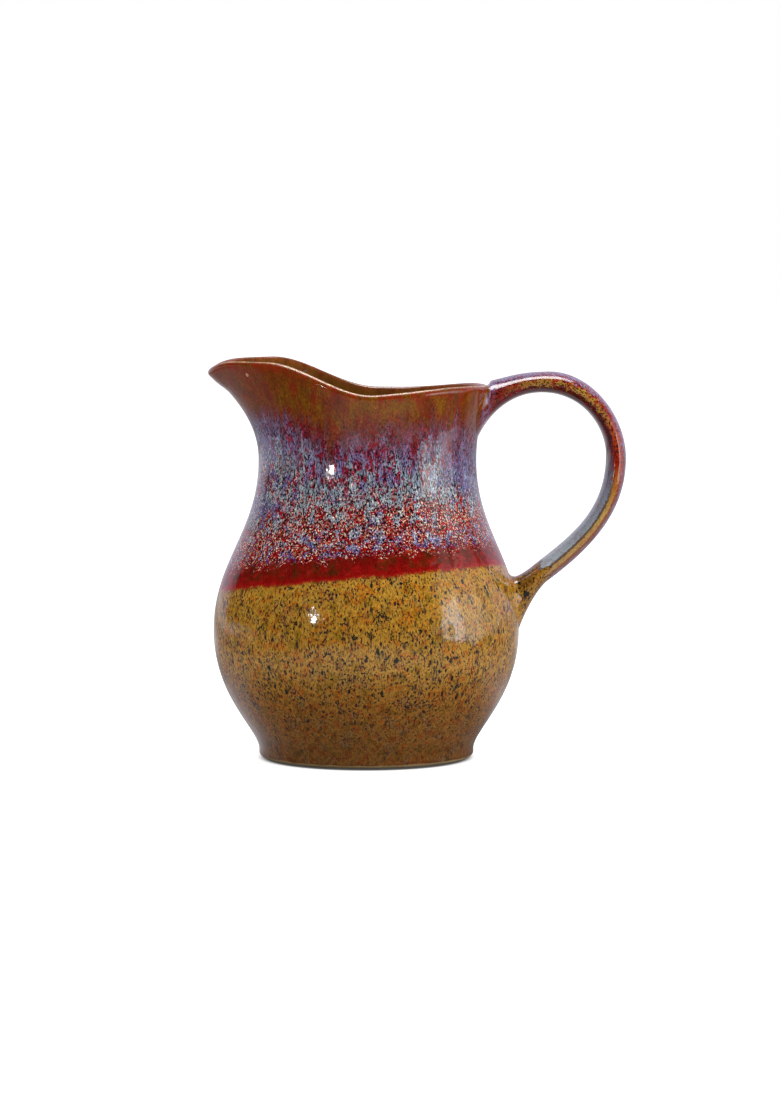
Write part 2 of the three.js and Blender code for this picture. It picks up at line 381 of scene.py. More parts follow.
def pastWall(s, wall, spot):  # millimetres that a spot stands clear of the outside of the jug
    away = Vector((spot.x, spot.y, 0)).normalized()
    start = away * s["wellOutside"] * mm + Vector((0, 0, min(spot.z, s["lipHeight"] * mm)))
    hit = wall.ray_cast(start, -away)[0]
    return (math.hypot(spot.x, spot.y) - math.hypot(hit.x, hit.y)) / mm


def strapRing(s, wall, out, into, share, near, turns):  # one cross-section of the strap
    square = 2 / s["squareness"]
    width = s["widthTop"] + (s["widthLow"] - s["widthTop"]) * share
    width += s["rootWiden"] * math.exp(-near / s["rootWidenOver"])
    middle, half = (out + into) / 2, (out - into) / 2
    row = []
    for turn in turns:
        across, aside = math.cos(turn), math.sin(turn)
        flat = math.copysign(abs(across) ** square, across)
        wide = math.copysign(abs(aside) ** square, aside) * width / 2
        centre = middle + half * flat
        spot = Vector((centre.x, 0, centre.y)) * mm
        onWall, normal, _, _ = wall.find_nearest(spot)
        gap = max((spot - onWall).dot(normal), 0) / mm
        if gap < s["fillet"]:  # the sides sweep out on to the wall
            rest = s["fillet"] - gap
            wide *= 1 + (s["fillet"] - math.sqrt(max(s["fillet"] ** 2 - rest ** 2, 0))) / (width / 2)
        rise = 0
        if share > s["crookFrom"] and gap < s["innerFillet"] and across < 0:  # the crook turns up the wall
            rest = s["innerFillet"] - gap
            rise = (s["innerFillet"] - math.sqrt(s["innerFillet"] ** 2 - rest ** 2)) * -across
        wallRadius = max(math.hypot(onWall.x, onWall.y) / mm, abs(wide) + 1)
        back = wallRadius - math.sqrt(wallRadius ** 2 - wide ** 2)
        spot = Vector((centre.x - back * math.exp(-gap / s["hugOver"]), wide, centre.y)) * mm
        row.append((spot + Vector((-normal.z, 0, normal.x)) * rise * mm, share, across, gap))
    return row


def cutAtRim(s, wall, rows):  # every line along the strap starts where it leaves the outside of the neck
    last = s["rootRings"]
    for k in range(len(rows[0])):
        line = [rows[i][k] for i in range(last + 1)]
        clear = [pastWall(s, wall, point[0]) + s["sink"] for point in line]
        inside = max((i for i in range(last) if clear[i] < 0), default=None)
        start = 0 if inside is None else inside + clear[inside] / (clear[inside] - clear[inside + 1])
        for i in range(last):
            at = start + (last - start) * i / last
            low = int(at)
            spot = line[low][0].lerp(line[low + 1][0], at - low)
            over = spot.z / mm - s["shoulderTop"]
            if over > 0:  # a small shoulder down to the lip
                ease = smooth(pastWall(s, wall, spot), -s["sink"], s["shoulder"])
                spot.z -= over * (1 - ease) ** 2 * mm
            share, gap = (line[low][j] + (line[low + 1][j] - line[low][j]) * (at - low) for j in (1, 3))
            rows[i][k] = (spot, share, line[0][2], gap)


def pullHandle(s, wall):
    outer = strapLine(strapOutside, s["rings"])
    inner = strapLine(strapInside, s["rings"])
    lengths = [0.0]
    for a, b in zip(outer, outer[1:]):
        lengths.append(lengths[-1] + (b - a).length)
    total = lengths[-1]
    mesh = bmesh.new()
    layers = [mesh.verts.layers.float.new(name) for name in ("strapRun", "strapFace", "rootAway")]
    ring = bmesh.ops.create_circle(mesh, segments=s["sides"], radius=1)["verts"]
    turns = [math.atan2(v.co.y, v.co.x) for v in ring]
    rows = []
    for out, into, length in zip(outer, inner, lengths):
        rows.append(strapRing(s, wall, out, into, length / total, min(length, total - length), turns))
    cutAtRim(s, wall, rows)
    for k, point in enumerate(rows[-1]):  # the lower end sits in the belly's wall
        onWall, normal, _, _ = wall.find_nearest(point[0])
        rows[-1][k] = (onWall - normal * s["sink"] * mm,) + point[1:]
    for i, row in enumerate(rows):
        if i:  # the next ring grows out of the last one
            edges = list({e for v in ring for e in v.link_edges if all(w in ring for w in e.verts)})
            grown = bmesh.ops.extrude_edge_only(mesh, edges=edges)["geom"]
            fresh = [g for g in grown if isinstance(g, bmesh.types.BMVert)]
            ring = [min(fresh, key=lambda f: (f.co - v.co).length_squared) for v in ring]
        for vert, (spot, *values) in zip(ring, row):
            vert.co = spot
            for layer, value in zip(layers, values):
                vert[layer] = value
    return mesh


def closeEnds(s, mesh):  # a hollow seat at each end leaves room for the slip
    for loop in bmesh.ops.holes_fill(mesh, edges=[e for e in mesh.edges if e.is_boundary])["faces"]:
        bmesh.ops.inset_region(mesh, faces=[loop], thickness=s["seatInset"] * mm, depth=-s["seatDepth"] * mm)


# the slip that holds the handle's ends: middle, height and width of each wafer
slip = {
    "upper": ((60, 0, 158.5), 13, 16), "lower": ((69.5, 0, 71), 14, 15),
    "thickness": 0.9, "lift": 0.1, "sides": 40,
    "pale": (175, 150, 110), "deep": (150, 125, 85), "grainSize": 0.8, "roughness": 0.85,
}


def slipWafer(s, wall, middle, height, width):
    mesh = bmesh.new()
    made = bmesh.ops.create_circle(mesh, segments=s["sides"], radius=1, cap_ends=True, cap_tris=True)
    for vert in made["verts"]:
        spot = Vector(middle) * mm + Vector((0, vert.co.x * width / 2, vert.co.y * height / 2)) * mm
        onWall, normal, _, _ = wall.find_nearest(spot)
        vert.co = onWall + normal * s["lift"] * mm
    faces = mesh.faces[:]
    grown = bmesh.ops.extrude_face_region(mesh, geom=faces)["geom"]
    for vert in (g for g in grown if isinstance(g, bmesh.types.BMVert)):
        normal = wall.find_nearest(vert.co)[1]
        vert.co = vert.co + normal * s["thickness"] * mm
    return mesh


# the line of the second dip: height at the axis, its tilt, and how it wavers
dipLine = {
    "height": 82.0, "acrossTilt": 0.093, "deepTilt": -0.083,
    "waver": 2.4, "waverSize": 14, "ragged": 1.3, "raggedSize": 2.2,
}


def jugPlace(tree):  # place in millimetres
    return stretched(tree, objectPlace(tree), 1000, 1000, 1000)


def dipLevel(tree, place):  # millimetres above the wavering dip line
    tilt = addNode(tree, "ShaderNodeVectorMath", operation="DOT_PRODUCT")
    feed(tree, tilt.inputs[0], place)
    tilt.inputs[1].default_value = (-dipLine["acrossTilt"], -dipLine["deepTilt"], 1)
    level = minus(tree, tilt.outputs["Value"], dipLine["height"])
    slow = times(tree, swing(tree, place, dipLine["waverSize"]), dipLine["waver"])
    quick = times(tree, swing(tree, place, dipLine["raggedSize"]), dipLine["ragged"])
    return plus(tree, level, plus(tree, slow, quick))


# the first dip; colours are screen values, sizes millimetres, dots are cell size, radius and share of cells
ochre = {
    "byHeight": ((0, (110, 70, 28)), (12, (144, 96, 40)), (30, (153, 103, 37)), (40, (168, 120, 48)),
                 (46, (185, 137, 61)), (66, (178, 130, 43)), (84, (190, 140, 49))),
    "peach": (255, 214, 176), "peachSize": 3.4, "peachShare": 0.4,
    "olive": (212, 216, 160), "oliveSize": 4, "oliveShare": 0.34,
    "crowd": (120, 112, 92), "crowdSize": 6.5, "crowdStrength": 0.22, "crowdOver": (0.5, 0.74),
    "grain": 0.5, "grainSize": 0.62,
    "fadeOver": (2, 34), "fadeLeast": 0.5,
    "greenInk": (24, 32, 26), "brownInk": (56, 34, 30), "inkSize": 3,
    "speckSize": 0.74, "speckLeast": 0.34, "speckMost": 0.43, "speckOver": (0.34, 0.68),
    "dots": ((5.8, 0.15, 0.22), (2.4, 0.27, 0.55), (1.5, 0.26, 0.4)), "dotInk": (24, 30, 26),
    "dotLeast": 0.45, "dotEdge": (-0.07, 0.05), "dotPalest": 0.7, "wobble": 1.1,
}


def ochreGlaze(tree, place, height):  # shows on the belly
    o = ochre
    upright = stretched(tree, place, 1, 1, 0.5)
    base = ramp(tree, height, o["byHeight"])
    peach = cover(tree, cloud(tree, place, o["peachSize"], 3), o["peachShare"], 0.08)
    base = tint(tree, peach, base, o["peach"], "MULTIPLY")
    olive = cloud(tree, stretched(tree, place, -1, 1, 0.8), o["oliveSize"], 3)
    base = tint(tree, cover(tree, olive, o["oliveShare"], 0.1), base, o["olive"], "MULTIPLY")
    crowd = cloud(tree, stretched(tree, place, 1, -1, 0.8), o["crowdSize"], 2)  # where the specks crowd
    base = tint(tree, spread(tree, crowd, *o["crowdOver"], 0, o["crowdStrength"]), base, o["crowd"])
    base = grained(tree, base, upright, o["grainSize"], 2, o["grain"])
    fade = spread(tree, height, *o["fadeOver"], o["fadeLeast"], 1.0)  # specks thin out towards the foot
    inkHue = spread(tree, cloud(tree, place, o["inkSize"]), 0.4, 0.6)
    ink = tint(tree, inkHue, o["greenInk"], o["brownInk"])
    specks = cloud(tree, stretched(tree, upright, -1, 1, -1), o["speckSize"], 2, 0.65)
    speckShare = spread(tree, crowd, *o["speckOver"], o["speckLeast"], o["speckMost"])
    specks = cover(tree, specks, speckShare, 0.03)
    base = tint(tree, times(tree, specks, fade), base, ink)
    jitter = addNode(tree, "ShaderNodeTexNoise")
    feed(tree, jitter.inputs["Vector"], place)
    jitter.inputs["Scale"].default_value = o["wobble"]
    ragged = addNode(tree, "ShaderNodeVectorMath", operation="ADD")
    feed(tree, ragged.inputs[0], upright)
    feed(tree, ragged.inputs[1], jitter.outputs["Color"])
    for size, radius, share in o["dots"]:
        far, first, second, third = flecks(tree, ragged.outputs[0], size)
        reach = times(tree, plus(tree, second, o["dotLeast"]), radius)
        dot = spread(tree, minus(tree, far, reach), *o["dotEdge"], 1.0, 0.0)
        shade = spread(tree, third, 0, 1, o["dotPalest"], 1.0)
        dot = times(tree, dot, maths(tree, "LESS_THAN", first, share), shade)
        base = tint(tree, times(tree, dot, fade), base, o["dotInk"])
    return base


# the second dip: colours and shares by millimetres above the dip line
speckled = {
    "columns": 28, "columnSize": 4, "columnsOver": (14, 45),
    "climb": 25, "climbLeast": 1.5, "climbAcross": (-52, -16), "climbOver": (30, 55),
    "climbEnd": (72, 92), "climbStays": 0.1,
    "lowClump": 3.6, "highClump": 2.2, "clumpOver": (26, 46),
    "lowThin": 0.72, "highThin": 0.6, "thinOver": (24, 44),
    "fineSize": 0.8, "fine": 0.55, "crumbSize": 0.74, "hueSize": 4.5, "mottleSize": 6,
    "teal": ((10, (120, 124, 186)), (20, (146, 158, 192)), (32, (159, 174, 186)), (46, (148, 164, 180)),
             (53, (142, 138, 164)), (59, (122, 84, 96)), (64, (120, 60, 26)), (74, (126, 78, 6)),
             (95, (120, 66, 4))),
    "violet": ((10, (82, 64, 142)), (24, (108, 101, 164)), (45, (126, 119, 168)), (54, (124, 100, 134)),
               (62, (116, 64, 66)), (70, (120, 60, 14)), (95, (116, 56, 4))),
    "violetShare": ((10, 0.58), (18, 0.44), (30, 0.34), (44, 0.44), (56, 0.54), (70, 0.45)),
    # painted sheen: more violet and less red at the left and right sides
    "sideSheenViolet": 0.3, "sideSheenAcross": (30, 46), "sideSheenOver": (24, 40), "sideSheenRedLoss": 0.4,
    "red": ((10, (150, 8, 8)), (24, (184, 20, 26)), (40, (164, 28, 50)), (56, (134, 26, 44)),
            (66, (132, 40, 12))),
    "redShare": ((10, 0.6), (15, 0.565), (22, 0.6), (30, 0.5), (40, 0.43), (50, 0.44), (58, 0.52), (64, 0.48),
                 (72, 0.3), (95, 0.2)),
    "orange": (206, 72, 14), "orangeSize": 3.2, "orangeShare": 0.34, "orangeStrength": 0.75,
    "orangeEnd": (28, 40),
    "cream": (248, 238, 210),
    "creamShare": ((10, 0.33), (16, 0.375), (26, 0.385), (36, 0.32), (46, 0.19), (58, 0)),
    "dark": ((10, (40, 4, 18)), (26, (24, 8, 18)), (42, (38, 16, 28)), (56, (48, 14, 30)), (70, (66, 26, 4))),
    "darkShare": ((10, 0.44), (20, 0.47), (30, 0.48), (46, 0.465), (58, 0.44), (66, 0.34), (74, 0.22)),
    "amberRed": (126, 30, 8), "amberRedShare": 0.38, "amberRedStrength": 0.7, "amberOver": (60, 70),
    "bloom": (134, 108, 132), "bloomSize": 13, "bloomShare": 0.36, "bloomStrength": 0.42,
    "bloomOver": (48, 56), "bloomEnd": (60, 69),
    "band": ((0, (160, 26, 18)), (1.6, (138, 10, 5)), (9, (124, 8, 7))),
    "bandOlive": (74, 38, 8), "bandOliveShare": 0.47, "bandOliveStrength": 0.85, "bandOliveOver": (1.5, 4),
    "bandGlow": (164, 26, 18), "bandGlowSize": 4, "bandGlowShare": 0.34, "bandGlowStrength": 0.6,
    "bandTop": 9.0, "bandSoft": 0.8, "bandClumps": 16, "bandFine": 9,
    "grain": 0.48, "grainSize": 0.6, "smear": 0.28, "smearSize": 3.5,
}


def speckledGlaze(tree, place, level):  # red band, flecked blue field, amber at the rim
    g = speckled
    across = split(tree, place)[0]
    columns = swing(tree, stretched(tree, place, 1, 1, 0.1), g["columnSize"])
    columns = times(tree, columns, spread(tree, level, *g["columnsOver"], 0, g["columns"]))
    climb = spread(tree, across, *g["climbAcross"], g["climb"], g["climbLeast"])  # blue climbs at the spout
    climb = times(tree, climb, spread(tree, level, *g["climbOver"]),
                  spread(tree, level, *g["climbEnd"], 1, g["climbStays"]))
    zone = minus(tree, plus(tree, level, columns), climb)

    # the noises that the layers share
    clump = between(tree, spread(tree, level, *g["clumpOver"]),
                    cloud(tree, stretched(tree, place, 1, 1, 0.85), g["lowClump"], 3, 0.62),
                    cloud(tree, stretched(tree, place, 1, 1, 0.42), g["highClump"], 4, 0.66))
    thin = between(tree, spread(tree, level, *g["thinOver"]),
                   cloud(tree, stretched(tree, place, -1, 1, 0.6), g["lowThin"], 2, 0.7),
                   cloud(tree, stretched(tree, place, -1, 1, 0.4), g["highThin"], 2, 0.7))
    fine = swing(tree, stretched(tree, place, 1, 1, 0.6), g["fineSize"], 2, 0.7)
    crumbs = cloud(tree, stretched(tree, place, 1, -1, 0.9), g["crumbSize"], 2, 0.7)
    hue = cloud(tree, stretched(tree, place, 1, -1, 0.5), g["hueSize"], 3)
    mottle = cloud(tree, stretched(tree, place, 1, 1, 0.45), g["mottleSize"], 4, 0.65)

    # teal and violet field, then red, cream crumbs and dark gaps
    # painted sheen: more violet and less red towards the left and right sides, 30 to 46 mm out across x
    sides = spread(tree, maths(tree, "ABSOLUTE", across), *g["sideSheenAcross"], 0, g["sideSheenViolet"])
    sides = times(tree, sides, spread(tree, level, *g["sideSheenOver"]))
    violet = cover(tree, hue, plus(tree, ramp(tree, zone, g["violetShare"]), sides), 0.08)
    base = tint(tree, violet, ramp(tree, zone, g["teal"]), ramp(tree, zone, g["violet"]))
    orange = cloud(tree, stretched(tree, place, -1, 1, 0.8), g["orangeSize"], 3)
    orange = cover(tree, orange, g["orangeShare"], 0.08)
    orange = times(tree, orange, spread(tree, zone, *g["orangeEnd"], g["orangeStrength"], 0))
    red = tint(tree, orange, ramp(tree, zone, g["red"]), g["orange"])
    redField = plus(tree, clump, times(tree, fine, g["fine"]))
    redShare = minus(tree, ramp(tree, zone, g["redShare"]), times(tree, sides, g["sideSheenRedLoss"]))
    base = tint(tree, cover(tree, redField, redShare, 0.04), base, red)
    cream = cover(tree, crumbs, ramp(tree, zone, g["creamShare"]), 0.03)
    base = tint(tree, cream, base, g["cream"])
    dark = cover(tree, thin, ramp(tree, zone, g["darkShare"]), 0.03)
    base = tint(tree, dark, base, ramp(tree, zone, g["dark"]))

    # red mottle in the amber, and a pale bloom below it
    amberRed = cover(tree, mottle, g["amberRedShare"], 0.1)
    amberRed = times(tree, amberRed, spread(tree, zone, *g["amberOver"], 0, g["amberRedStrength"]))
    base = tint(tree, amberRed, base, g["amberRed"])
    bloom = cloud(tree, stretched(tree, place, 1, 1, 1.4), g["bloomSize"], 3)
    bloom = cover(tree, bloom, g["bloomShare"], 0.12)
    bloom = times(tree, bloom, spread(tree, level, *g["bloomOver"], 0, g["bloomStrength"]),
                  spread(tree, level, *g["bloomEnd"], 1, 0))
    base = tint(tree, bloom, base, g["bloom"])

    # the plain red band along the dip line
    band = ramp(tree, level, g["band"])
    olive = cover(tree, mottle, g["bandOliveShare"], 0.12)
    olive = times(tree, olive, spread(tree, level, *g["bandOliveOver"], 0, g["bandOliveStrength"]))
    band = tint(tree, olive, band, g["bandOlive"])
    glow = cloud(tree, stretched(tree, place, 1, 1, 2), g["bandGlowSize"], 3)
    glow = times(tree, cover(tree, glow, g["bandGlowShare"], 0.1), g["bandGlowStrength"])
    band = tint(tree, glow, band, g["bandGlow"])
    edge = plus(tree, level, times(tree, minus(tree, clump, 0.5), g["bandClumps"]))
    edge = plus(tree, edge, times(tree, fine, g["bandFine"]))
    edge = spread(tree, edge, g["bandTop"] - g["bandSoft"], g["bandTop"] + g["bandSoft"])
    base = tint(tree, edge, band, base)
    base = grained(tree, base, stretched(tree, place, 1, 1, 0.4), g["grainSize"], 2, g["grain"])
    return grained(tree, base, stretched(tree, place, 1, 1, 0.25), g["smearSize"], 3, g["smear"])


glazeSurface = {"gloss": 0.1, "waveDepth": 0.00022, "waveSize": 6, "pebbleSize": 1.2, "pebble": 0.05}


def glazeSkin(tree, place, shader):  # fired glaze lies in slow waves with a faint pebble
    skin = addNode(tree, "ShaderNodeBump")
    skin.inputs["Strength"].default_value = 1.0
    skin.inputs["Distance"].default_value = glazeSurface["waveDepth"]
    pebble = times(tree, cloud(tree, place, glazeSurface["pebbleSize"], 1), glazeSurface["pebble"])
    waves = cloud(tree, place, glazeSurface["waveSize"], 2)
    feed(tree, skin.inputs["Height"], plus(tree, waves, pebble))
    feed(tree, shader.inputs["Normal"], skin.outputs["Normal"])


# rim, mouth and foot; lip distances are millimetres outside (+) and inside (-)
bodyFinish = {
    "dipInk": (60, 34, 10), "dipInkSize": 4, "dipInkShare": 0.45, "dipInkStrength": 0.7,
    "dipInkOver": (-1.1, -0.4), "dipQuiver": 4, "quiverSize": 0.9, "dipSoft": 0.8,
    # inside the mouth, darker deeper in as painted shade
    "inside": ((-70, (94, 56, 16)), (-24, (106, 68, 16)), (-11, (122, 82, 18)), (-5, (122, 74, 20)),
               (-1, (146, 76, 42))),
    "insideEnd": (-1.6, -0.8), "streakSize": 3, "streaks": (0.66, 1.3),
    "insideRed": (118, 46, 18), "insideRedSize": 6, "insideRedShare": 0.3,
    "collar": (150, 36, 10), "collarSize": 2.6, "collarShare": 0.5, "collarStrength": 0.75,
    "collarStart": (-1.5, 0), "collarEnd": (1.5, 6),
    "lip": (228, 186, 122), "lipSize": 1.6, "lipPatches": (0.15, 0.9), "lipFrom": 0.2, "lipTo": 0.8,
    "dryTo": 2.4, "dryLip": 0.3,
    # a painted highlight: a small pale glint on the spout, with its colour, place, edge and strength
    "spoutGlint": (206, 172, 130), "spoutGlintPlace": (-53.5, -28.7, 176.1), "spoutGlintEdge": (0.6, 1.2),
    "spoutGlintStrength": 0.8,
    "clayEnd": (0.45, 0.95), "clayWaver": 1.0, "claySize": 7, "clayRough": 0.85,
    "deepClay": (148, 121, 80), "paleClay": (176, 150, 106), "clayGrain": 0.6,
}


def bodyGlazeMaterial():
    f = bodyFinish
    material, tree, shader = newMaterial("bodyGlaze")
    place = jugPlace(tree)
    height = split(tree, place)[2]
    level = dipLevel(tree, place)
    rimAway = attribute(tree, "rimAway")
    lipAway = maths(tree, "ABSOLUTE", rimAway)

    # two dips that meet along a wavering line with a dark edge
    lower = ochreGlaze(tree, place, height)
    ink = cover(tree, cloud(tree, place, f["dipInkSize"]), f["dipInkShare"], 0.1)
    ink = times(tree, spread(tree, level, *f["dipInkOver"]), ink, f["dipInkStrength"])
    lower = tint(tree, ink, lower, f["dipInk"])
    quiver = times(tree, swing(tree, place, f["quiverSize"], 2, 0.7), f["dipQuiver"])
    dipped = spread(tree, plus(tree, level, quiver), -f["dipSoft"], f["dipSoft"])
    base = tint(tree, dipped, lower, speckledGlaze(tree, place, level))

    # mouth, red collar under the lip and the lip's thin glaze
    streaks = cloud(tree, stretched(tree, place, 1, 1, 0.3), f["streakSize"], 4, 0.6)
    streaks = spread(tree, streaks, 0.3, 0.7, *f["streaks"], False)
    # inside the mouth: colour by distance below the lip, darker deeper in as painted shade
    inside = tint(tree, 1.0, ramp(tree, rimAway, f["inside"]), streaks, "MULTIPLY")
    insideRed = cover(tree, cloud(tree, place, f["insideRedSize"], 4, 0.6), f["insideRedShare"], 0.12)
    inside = tint(tree, insideRed, inside, f["insideRed"])
    base = tint(tree, spread(tree, rimAway, *f["insideEnd"], 1, 0), base, inside)
    collar = cloud(tree, stretched(tree, place, 1, 1, 0.8), f["collarSize"], 4, 0.65)
    collar = times(tree, spread(tree, rimAway, *f["collarEnd"], f["collarStrength"], 0),
                   spread(tree, rimAway, *f["collarStart"]), cover(tree, collar, f["collarShare"], 0.08))
    base = tint(tree, collar, base, f["collar"])
    lip = spread(tree, cloud(tree, place, f["lipSize"], 3, 0.6), 0.4, 0.6, *f["lipPatches"])
    lip = times(tree, spread(tree, lipAway, f["lipFrom"], f["lipTo"], 1, 0), lip)
    base = tint(tree, lip, base, f["lip"])
    # painted highlight: a small pale glint on the spout, where a lamp's reflection shows
    spoutGlint = distance(tree, place, f["spoutGlintPlace"])
    spoutGlint = spread(tree, spoutGlint, *f["spoutGlintEdge"], f["spoutGlintStrength"], 0)
    base = tint(tree, spoutGlint, base, f["spoutGlint"])

    # bare clay along the foot
    bare = minus(tree, height, times(tree, cloud(tree, place, f["claySize"]), f["clayWaver"]))
    bare = times(tree, spread(tree, bare, *f["clayEnd"], 1, 0), maths(tree, "GREATER_THAN", rimAway, 0))
    clay = tint(tree, cloud(tree, place, f["clayGrain"], 3), f["deepClay"], f["paleClay"])
    feed(tree, shader.inputs["Base Color"], tint(tree, bare, base, clay))
    dry = spread(tree, lipAway, f["lipTo"], f["dryTo"], f["dryLip"], glazeSurface["gloss"])
    feed(tree, shader.inputs["Roughness"], spread(tree, bare, 0, 1, dry, f["clayRough"], False))
    glazeSkin(tree, place, shader)
    return material


# the handle's glaze: run goes from 0 at the rim to 1 at the belly, face from -1 inside the loop to 1 outside
strapGlaze = {
    # inside the loop: lavender at the root, dark red under the crest that is partly the glaze and partly
    # painted shade, then blue-grey towards the tail
    "inner": ((0, (112, 66, 96)), (0.06, (112, 30, 36)), (0.12, (92, 14, 10)), (0.3, (76, 10, 6)),
              (0.42, (80, 10, 8)), (0.47, (92, 50, 60)), (0.52, (118, 118, 134)), (0.6, (150, 158, 170)),
              (0.8, (186, 198, 206))),
    "edge": ((0, (128, 34, 34)), (0.08, (140, 54, 34)), (0.14, (160, 112, 48)), (0.28, (176, 132, 56)),
             (0.36, (166, 110, 44)), (0.43, (164, 58, 18)), (0.5, (156, 40, 8)), (0.56, (166, 112, 46)),
             (0.62, (178, 142, 80)), (0.85, (176, 138, 84))),
    "flank": ((0, (126, 28, 34)), (0.3, (160, 46, 38)), (0.5, (152, 48, 26)), (0.6, (140, 80, 48)),
              (0.85, (140, 90, 62))),
    "outer": ((0, (148, 118, 160)), (0.3, (160, 108, 146)), (0.5, (144, 88, 112)), (0.66, (120, 76, 84)),
              (0.85, (146, 92, 84))),
    "blue": ((0, (128, 136, 176)), (0.3, (136, 140, 178)), (0.55, (126, 122, 158)), (0.85, (134, 112, 128))),
    "blueShare": 0.46, "runSize": 1.7, "runs": (0.72, 1.25),
    "wander": ((0, 2.4), (0.45, 1.6), (0.56, 0.5), (0.7, 0.3)), "wanderSize": 1.7,
    "innerEnd": ((0, -0.35), (0.15, -0.2), (0.42, -0.2), (0.5, -0.35), (0.58, -0.15), (0.9, -0.1)),
    "innerSoft": 0.08, "flankFace": (0.3, 0.44), "outerFace": (0.5, 0.75),
    "line": (52, 34, 22), "lineStrength": 0.75, "lineEdge": (0.05, 0.16), "lineRun": (0.5, 0.6),
    "quietRun": (0.44, 0.58), "quiet": 0.25,
    "red": (140, 16, 14), "redSize": 1.5, "redStrength": 0.85, "redPatch": 7, "redShare": (0.3, 0.5),
    "dark": (40, 14, 8), "darkSize": 0.75, "darkShare": 0.4, "darkStrength": 0.9,
    "grain": 0.25, "grainSize": 0.6,
    "dipEnd": 0.812, "dipSoft": 0.006, "dipWaver": 0.035, "dipWaverSize": 3,
    "dipRim": (56, 38, 18), "dipRimEdge": (0.002, 0.006), "dipRimStrength": 0.7,
    "tongue": 0.022, "tongueRise": (-0.95, -0.6), "tongueFall": (-0.45, -0.12),
    "goldRun": 0.035, "goldFace": (0.0, 0.3), "backFace": (0.3, 0.7), "backAcross": (2, 10),
    "backRun": (0.015, -0.02),
    "lowerDull": (222, 216, 206), "lowerDullOver": (0.5, 4), "rootRun": (0.1, 0.2),
    "rootPale": (150, 130, 172), "rootPaleSize": 1.6, "rootPaleShare": 0.52, "rootPaleStrength": 0.85,
    "rootPaleOver": (0.5, 5),
    "rootWorn": (206, 196, 178), "rootWornSize": 1.4, "rootWornShare": 0.55, "rootWornStrength": 0.9,
    "rootWornOver": (0.6, 2.2), "rootWornFace": (0.55, 0.8), "neckOver": (0.7, 2.2),
}


def strapColours(tree, place, run, face):  # thick and blue inside the loop, broken to gold along the edges
    g = strapGlaze
    wander = times(tree, swing(tree, place, g["wanderSize"], 4, 0.65), ramp(tree, run, g["wander"]))
    face = plus(tree, face, wander)
    runs = cloud(tree, stretched(tree, place, 0.3, 1, 0.3), g["runSize"], 4, 0.65)
    blue = cover(tree, runs, g["blueShare"], 0.08)
    outer = tint(tree, blue, ramp(tree, run, g["outer"]), ramp(tree, run, g["blue"]))
    outer = tint(tree, 1.0, outer, spread(tree, runs, 0.3, 0.7, *g["runs"], False), "MULTIPLY")
    past = minus(tree, face, ramp(tree, run, g["innerEnd"], lowest=-1))
    broken = spread(tree, past, -g["innerSoft"], g["innerSoft"])
    # the dark red inside the loop under the crest is partly painted shade
    base = tint(tree, broken, ramp(tree, run, g["inner"]), ramp(tree, run, g["edge"]))
    base = tint(tree, spread(tree, face, *g["flankFace"]), base, ramp(tree, run, g["flank"]))
    base = tint(tree, spread(tree, face, *g["outerFace"]), base, outer)
    line = spread(tree, maths(tree, "ABSOLUTE", past), *g["lineEdge"], g["lineStrength"], 0)
    base = tint(tree, times(tree, line, spread(tree, run, *g["lineRun"])), base, g["line"])
    loud = spread(tree, run, *g["quietRun"], 1, g["quiet"])  # flecks fade towards the tail
    redShare = spread(tree, cloud(tree, place, g["redPatch"], 3), 0.36, 0.64, *g["redShare"])
    red = cover(tree, cloud(tree, stretched(tree, place, -0.6, 1, 0.6), g["redSize"], 4, 0.68), redShare)
    base = tint(tree, times(tree, red, loud, g["redStrength"]), base, g["red"])
    dark = cover(tree, cloud(tree, place, g["darkSize"], 1), g["darkShare"], 0.03)
    base = tint(tree, times(tree, dark, loud, g["darkStrength"]), base, g["dark"])
    return grained(tree, base, place, g["grainSize"], 2, g["grain"])


